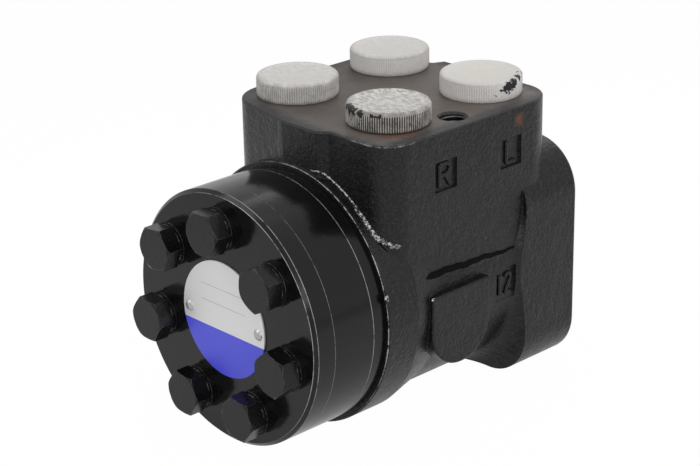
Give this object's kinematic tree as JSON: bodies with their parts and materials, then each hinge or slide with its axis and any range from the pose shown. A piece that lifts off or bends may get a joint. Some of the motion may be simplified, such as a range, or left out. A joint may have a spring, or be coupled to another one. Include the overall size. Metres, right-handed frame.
{
  "type": "orbital steering unit",
  "caption": "Hydraulic orbital steering unit with a cast port block, a bolted round gear set, capped ports and a splined column end.",
  "frame": {"origin": "where the main axis meets the column flange face", "axes": "+Y along the main axis, out of the column flange; +Z out of the port face; the end cover is at -Y"},
  "size_m": [0.0881, 0.1275, 0.1083],
  "materials": {
    "casting_paint": "gloss paint over a rough casting",
    "stack_paint": "gloss paint over machined steel",
    "screw_paint": "gloss paint",
    "washer_paint": "gloss paint",
    "cap_plastic": "matte, natural white",
    "plate_aluminium": "satin",
    "rivet_metal": "satin",
    "seal_rubber": "matte",
    "gear_steel": "ground",
    "spring_steel": "rolled",
    "bearing_steel": "polished",
    "inner_steel": "ground"
  },
  "bodies": {
    "body": {"check_seat": "inner_steel", "cover_screw_1": "screw_paint", "cover_screw_2": "screw_paint", "cover_screw_3": "screw_paint", "cover_screw_4": "screw_paint", "cover_screw_5": "screw_paint", "cover_screw_6": "screw_paint", "cover_screw_7": "screw_paint", "cover_seal": "seal_rubber", "distributor_plate": "stack_paint", "dust_seal": "seal_rubber", "end_cover": "stack_paint", "housing": "casting_paint", "housing_seal": "seal_rubber", "name_plate": "plate_aluminium", "plate_rivet_1": "rivet_metal", "plate_rivet_2": "rivet_metal", "rear_race": "bearing_steel", "ring_seal": "seal_rubber", "shaft_seal": "seal_rubber", "stator_ring": "stack_paint", "washer_1": "washer_paint", "washer_2": "washer_paint", "washer_3": "washer_paint", "washer_4": "washer_paint", "washer_5": "washer_paint", "washer_6": "washer_paint", "washer_7": "washer_paint"},
    "sleeve_set": {"sleeve": "inner_steel", "cross_pin": "inner_steel", "spring_ring": "spring_steel", "front_race": "bearing_steel", "centring_springs": "spring_steel"},
    "spool": {"spool": "inner_steel"},
    "bearing_cage": {"needle_cage": "bearing_steel", "needles": "bearing_steel"},
    "orbit_carrier": {"spacer": "gear_steel"},
    "rotor": {"rotor": "gear_steel"},
    "cardan": {"cardan_shaft": "gear_steel"},
    "check_ball": {"check_ball": "bearing_steel"},
    "cap_left_turn": {"cap_left_turn": "cap_plastic"},
    "cap_pressure": {"cap_pressure": "cap_plastic"},
    "cap_right_turn": {"cap_right_turn": "cap_plastic"},
    "cap_tank": {"cap_tank": "cap_plastic"}
  },
  "joints": [
    {"name": "sleeve_turn", "type": "hinge", "parent": "body", "child": "sleeve_set", "pos_m": [0, -0.046, 0], "axis": [0, 1, 0], "continuous": true},
    {"name": "spool_turn", "type": "hinge", "parent": "sleeve_set", "child": "spool", "pos_m": [0, -0.046, 0], "axis": [0, 1, 0], "range_deg": [-8, 8], "stiffness_Nm_per_rad": 1.5, "deforming": ["centring_springs"]},
    {"name": "bearing_roll", "type": "hinge", "parent": "body", "child": "bearing_cage", "pos_m": [0, -0.0162, 0], "axis": [0, 1, 0], "continuous": true},
    {"name": "rotor_orbit", "type": "hinge", "parent": "body", "child": "orbit_carrier", "pos_m": [0, -0.1033, 0], "axis": [0, 1, 0], "continuous": true},
    {"name": "rotor_spin", "type": "hinge", "parent": "orbit_carrier", "child": "rotor", "pos_m": [0, -0.1033, 0.0038], "axis": [0, 1, 0], "continuous": true},
    {"name": "cardan_spin", "type": "hinge", "parent": "orbit_carrier", "child": "cardan", "pos_m": [0, -0.046, 0], "axis": [0, 0.9978, -0.0662], "continuous": true},
    {"name": "check_ball_lift", "type": "slide", "parent": "body", "child": "check_ball", "axis": [0, 1, 0], "range_m": [0, 0.0012]},
    {"name": "cap_left_turn_lift", "type": "slide", "parent": "body", "child": "cap_left_turn", "axis": [0, 0, 1], "range_m": [0, 0.03]},
    {"name": "cap_pressure_lift", "type": "slide", "parent": "body", "child": "cap_pressure", "axis": [0, 0, 1], "range_m": [0, 0.03]},
    {"name": "cap_right_turn_lift", "type": "slide", "parent": "body", "child": "cap_right_turn", "axis": [0, 0, 1], "range_m": [0, 0.03]},
    {"name": "cap_tank_lift", "type": "slide", "parent": "body", "child": "cap_tank", "axis": [0, 0, 1], "range_m": [0, 0.03]}
  ],
  "couplings": [
    {"joint": "bearing_roll", "follows": "sleeve_turn", "ratio": 0.5},
    {"joint": "rotor_orbit", "follows": "sleeve_turn", "ratio": -6},
    {"joint": "rotor_spin", "follows": "sleeve_turn", "ratio": 7},
    {"joint": "cardan_spin", "follows": "sleeve_turn", "ratio": 7}
  ]
}
